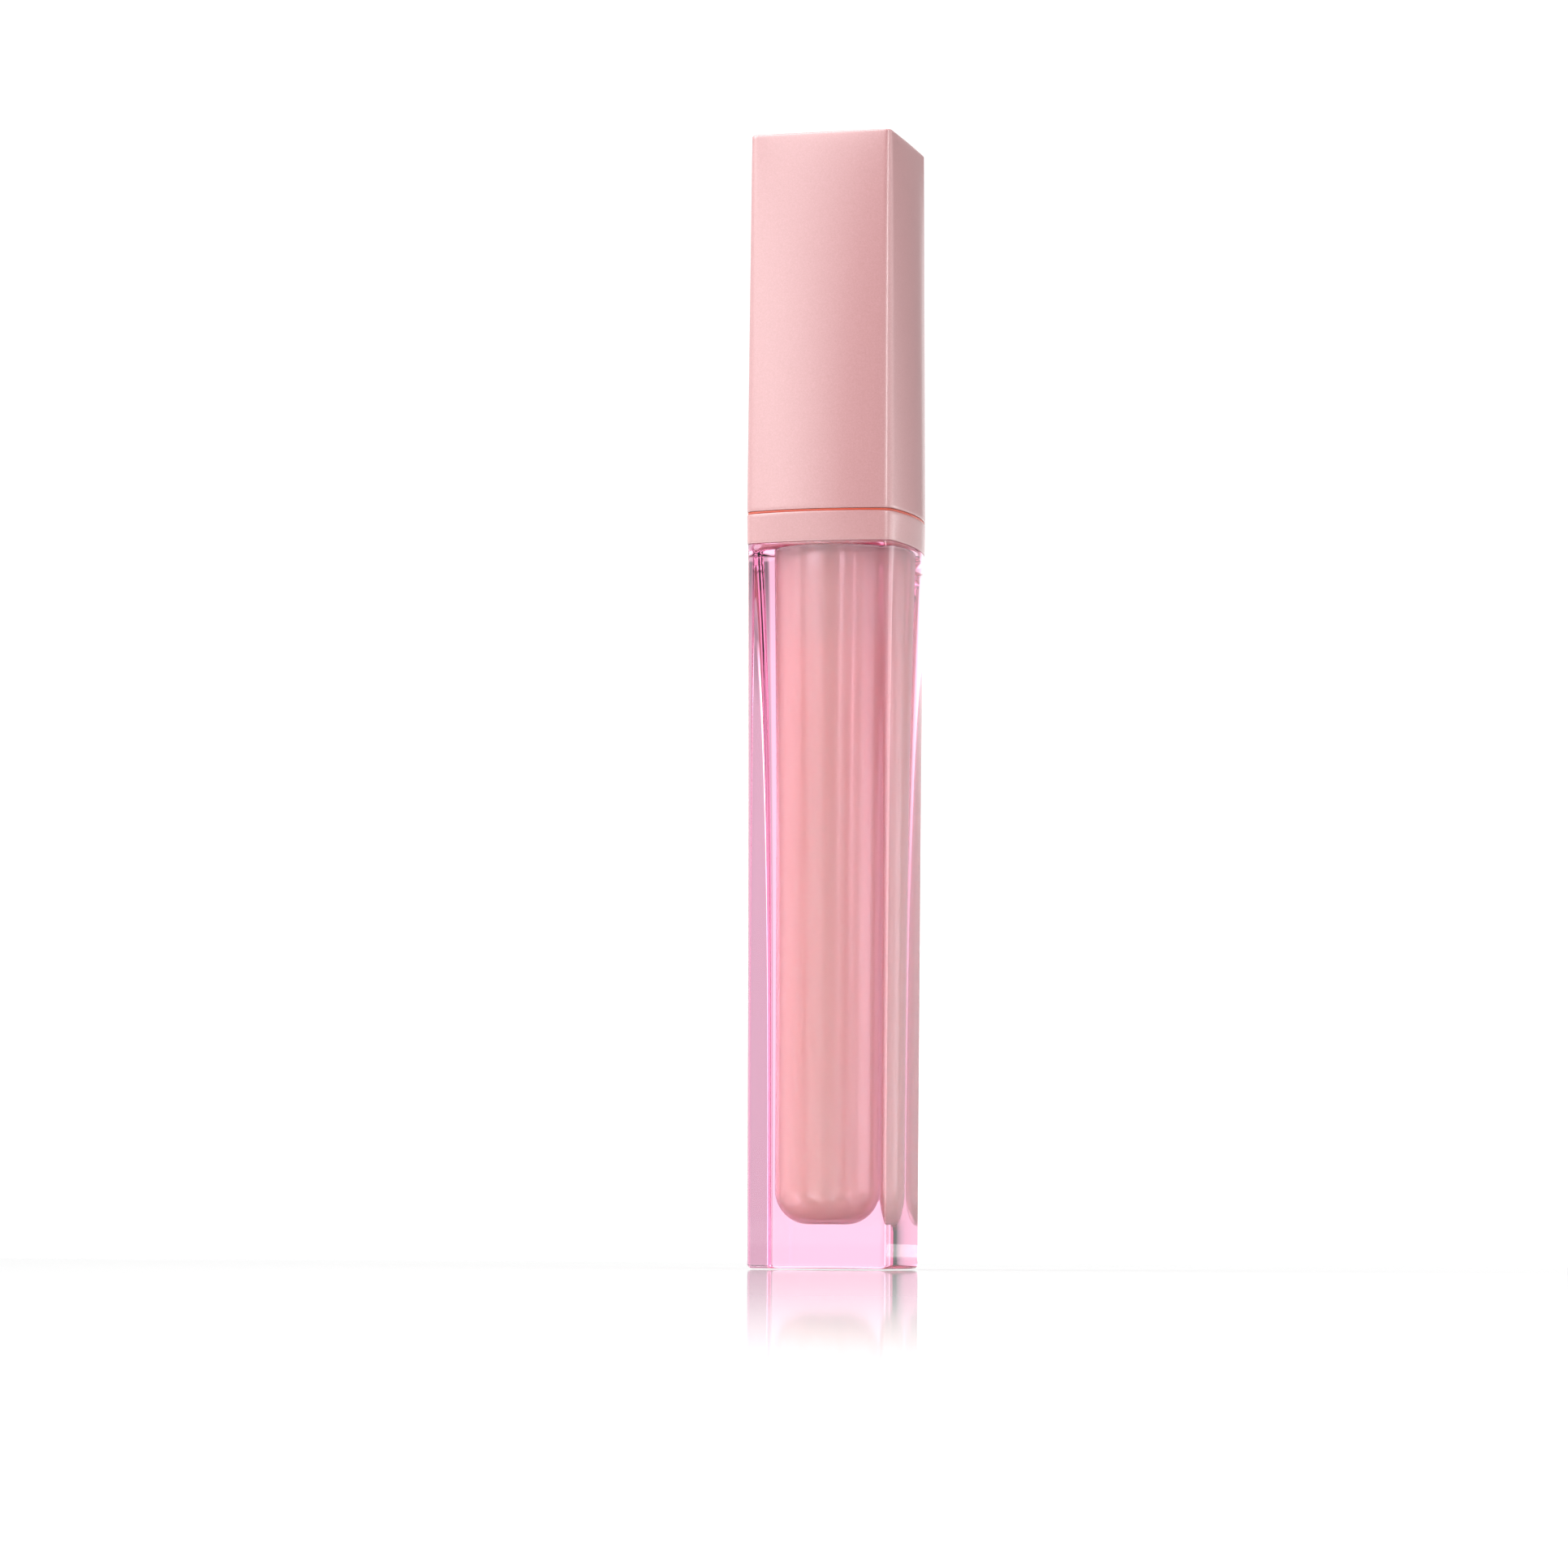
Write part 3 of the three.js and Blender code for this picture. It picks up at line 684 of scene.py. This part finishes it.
def washer_data():
    profile = [(WASHER_HOLE_RADIUS, WASHER_BOTTOM), (WASHER_RADIUS, WASHER_BOTTOM),
               (WASHER_RADIUS, WASHER_TOP), (WASHER_HOLE_RADIUS, WASHER_TOP)]
    return turned_data(profile, 0.2)


def stem_data():
    """Stem with the head that sits in the insert's socket and the spigot that holds the doe-foot."""
    profile = [(0, SPIGOT_BOTTOM), (SPIGOT_RADIUS, SPIGOT_BOTTOM), (SPIGOT_RADIUS, STEM_BOTTOM),
               (STEM_RADIUS, STEM_BOTTOM), (STEM_RADIUS, STEM_HEAD_BOTTOM),
               (STEM_HEAD_RADIUS, STEM_HEAD_BOTTOM), (STEM_HEAD_RADIUS, STEM_HEAD_TOP), (0, STEM_HEAD_TOP)]
    return turned_data(profile, 0.15, 64)


def tip_data():
    """Doe-foot, round at the stem and slanting to a thin rounded point."""
    # height, half width, half depth and sideways shift, from the stem down
    stations = [
        (22.35, 1.2, 1.2, 0), (22.3, 1.45, 1.45, 0), (22.0, 1.72, 1.72, 0), (21.5, 1.86, 1.86, 0),
        (20.5, 1.93, 1.93, 0), (19.2, 1.95, 1.95, 0), (18, 1.96, 1.94, 0), (16.8, 2.0, 1.88, 0.02),
        (15.5, 2.05, 1.78, 0.06), (14.2, 2.09, 1.62, 0.1), (13, 2.1, 1.44, 0.16), (12, 2.05, 1.27, 0.22),
        (11, 1.93, 1.09, 0.3), (10.2, 1.72, 0.9, 0.37), (9.6, 1.46, 0.73, 0.42), (9.2, 1.2, 0.6, 0.45),
        (8.9, 0.93, 0.47, 0.48), (8.7, 0.62, 0.32, 0.5), (8.6, 0.25, 0.14, 0.5)]
    angles = [TAU * k / TIP_STEPS for k in range(TIP_STEPS)]
    rings = []
    for z, wide, deep, shift in reversed(stations):
        rings.append([(wide * math.cos(angle), shift + deep * math.sin(angle), z) for angle in angles])
    return skin_data(rings)


add_object("cap_body", cap_data(), PEARL, "cap", ["cap_shell"])
add_object("end_plate", plate_data(), GOLD, "cap", ["top_plate"])
add_object("adhesive_film", pad_data(), PAD, "cap", ["plate_pad"])
add_object("thread_insert", insert_data(), NATURAL, "cap", ["cap_insert"])
add_object("wand_stem", stem_data(), NATURAL, "cap", ["stem"])
add_object("doe_foot", tip_data(), FLOCK, "cap", ["applicator_tip"])
add_object("weight_slug", slug_data(), STEEL, "weight", ["cap_weight"])
add_object("seal_ring", washer_data(), SEAL, "seal", ["seal_washer"])


# ---- Stage: floor, light, camera ----

# metres: half of the floor's side, and how far it lies under the clear foot, which shows black
# on a floor in its own plane
FLOOR_REACH = 6.0
FLOOR_DROP = 0.1 * MM

# metres from the tube at which the floor's mirror has faded out and its tone is at its palest
MIRROR_END = 0.57
TONE_END = 0.555
FADE_POWER = 4

# sines of elevation between which one ring of light levels gives way to the next
LOW_TO_MIDDLE = (0.122, 0.14)
MIDDLE_TO_HIGH = (0.24, 0.3)

# rings of light round the tube: azimuth in degrees, 0 to the front and 90 to the right, and level
LOW_RING = (
    (-180, 1.25), (-168, 1.22), (-160, 1.2), (-150, 1.15), (-138, 1.05), (-128, 1.7), (-92, 1.6),
    (-74, 1.0), (-60, 0.8), (-28, 0.75), (-22, 1.3), (-11, 1.3), (-4, 0.7), (4, 0.5), (40, 0.5),
    (56, 1.0), (80, 1.0), (84, 3.8), (136, 3.8), (142, 0.8), (154, 0.76), (172, 0.76), (176, 1.0),
    (180, 1.25))
MIDDLE_RING = (
    (-180, 1.08), (-130, 1.06), (-110, 1.3), (-82, 1.7), (-64, 2.2), (-44, 2.4), (-34, 2.9),
    (-24, 2.2), (-8, 1.0), (-3, 0.3), (24, 0.35), (40, 1.0), (46, 1.2), (47, 13.0), (53, 13.0),
    (54, 1.2), (110, 0.9), (146, 0.3), (172, 0.25), (176, 0.5), (180, 1.08))
HIGH_RING = (
    (-180, 1.4), (-130, 1.4), (-110, 1.4), (-82, 1.8), (-64, 5.0), (-40, 6.0), (-24, 4.0), (-8, 1.4),
    (-3, 0.4), (28, 0.5), (40, 1.1), (45, 4.2), (55, 4.2), (60, 1.3), (110, 1.1), (150, 0.6),
    (172, 0.6), (180, 1.4))


def pale_floor():
    """Pale matt floor with a soft mirror near the tube, which fades out as the floor gets paler."""
    material, tree, shader = new_material("pale_floor")
    set_inputs(shader, Roughness=0.6, IOR=1.0)
    polish = tree.nodes.new("ShaderNodeBsdfGlossy")
    set_inputs(polish, Roughness=0.03)
    where = tree.nodes.new("ShaderNodeTexCoord")
    distance = tree.nodes.new("ShaderNodeVectorMath")
    distance.operation = "LENGTH"
    tree.links.new(where.outputs["Object"], distance.inputs[0])
    far_node = maths(tree, "POWER", distance.outputs["Value"])
    far_node.inputs[1].default_value = FADE_POWER
    far = far_node.outputs["Value"]
    fade = map_range(tree, far, 0.78, 0.0, end=MIRROR_END ** FADE_POWER)
    tone = map_range(tree, far, 0.54, 0.76, end=TONE_END ** FADE_POWER)
    tree.links.new(tone, shader.inputs["Base Color"])
    blend = tree.nodes.new("ShaderNodeMixShader")
    tree.links.new(fade, blend.inputs["Fac"])
    tree.links.new(shader.outputs["BSDF"], blend.inputs[1])
    tree.links.new(polish.outputs["BSDF"], blend.inputs[2])
    tree.links.new(blend.outputs["Shader"], tree.nodes["Material Output"].inputs["Surface"])
    return material


def floor_stage():
    mesh = bpy.data.meshes.new("studio_floor")
    signs = [(-1, -1), (1, -1), (1, 1), (-1, 1)]
    corners = [(x * FLOOR_REACH, y * FLOOR_REACH, -FLOOR_DROP) for x, y in signs]
    mesh.from_pydata(corners, [], [(0, 1, 2, 3)])
    mesh.materials.append(pale_floor())
    floor = bpy.data.objects.new("studio_floor", mesh)
    bpy.context.scene.collection.objects.link(floor)


def studio_world():
    """Soft light from all round in three rings of levels, one above the other."""
    world = bpy.data.worlds.new("studio")
    world.use_nodes = True
    tree = world.node_tree
    where = tree.nodes.new("ShaderNodeTexCoord")
    split = tree.nodes.new("ShaderNodeSeparateXYZ")
    tree.links.new(where.outputs["Generated"], split.inputs["Vector"])
    front = maths(tree, "MULTIPLY", split.outputs["Y"])
    front.inputs[1].default_value = -1.0
    angle = maths(tree, "ARCTAN2", split.outputs["X"])
    tree.links.new(front.outputs["Value"], angle.inputs[1])
    share = map_range(tree, angle.outputs["Value"], 0.0, 1.0, -math.pi, math.pi)

    def around(stops):
        return ramp(tree, share, [((azimuth + 180) / 360, (level,) * 3) for azimuth, level in stops])

    def step_up(below, above, band):
        """Cross from one ring of levels to the next above it."""
        lift = map_range(tree, split.outputs["Z"], 0.0, 1.0, *band)
        both = tree.nodes.new("ShaderNodeMix")
        both.data_type = "RGBA"
        tree.links.new(lift, both.inputs["Factor"])
        tree.links.new(below, both.inputs["A"])
        tree.links.new(above, both.inputs["B"])
        return both.outputs["Result"]

    rings = step_up(around(LOW_RING), around(MIDDLE_RING), LOW_TO_MIDDLE)
    rings = step_up(rings, around(HIGH_RING), MIDDLE_TO_HIGH)
    lit = tree.nodes.new("ShaderNodeVectorMath")
    lit.operation = "SCALE"
    tree.links.new(rings, lit.inputs[0])
    tree.links.new(map_range(tree, split.outputs["Z"], 1.0, 1.3), lit.inputs["Scale"])
    background = tree.nodes["Background"]
    tree.links.new(lit.outputs["Vector"], background.inputs["Color"])
    background.inputs["Strength"].default_value = 1.0
    bpy.context.scene.world = world


def photo_camera():
    """A long lens just over the floor, which looks slightly up at the tube from its front right."""
    azimuth, pitch, roll = math.radians(15.06), math.radians(4.909), math.radians(0.344)
    distance, sideways, height = 0.590, 0.00563, 0.0020
    right = Vector((math.cos(azimuth), math.sin(azimuth), 0))
    ahead = Vector((-math.sin(azimuth), math.cos(azimuth), 0))
    forward = (ahead * math.cos(pitch) + Vector((0, 0, 1)) * math.sin(pitch)).normalized()
    up = right.cross(forward).normalized()
    rolled_right = right * math.cos(roll) + up * math.sin(roll)
    rolled_up = up * math.cos(roll) - right * math.sin(roll)
    placed = Matrix((rolled_right, rolled_up, -forward)).transposed().to_4x4()
    placed.translation = -ahead * distance - right * sideways + Vector((0, 0, height))
    camera = bpy.data.cameras.new("camera")
    camera.sensor_width = 36.0
    camera.lens = 124.472
    camera.clip_start, camera.clip_end = 0.01, 50.0
    eye = bpy.data.objects.new("camera", camera)
    bpy.context.scene.collection.objects.link(eye)
    eye.matrix_world = placed
    bpy.context.scene.camera = eye


floor_stage()
studio_world()
photo_camera()
bpy.context.scene.view_settings.view_transform = "Standard"
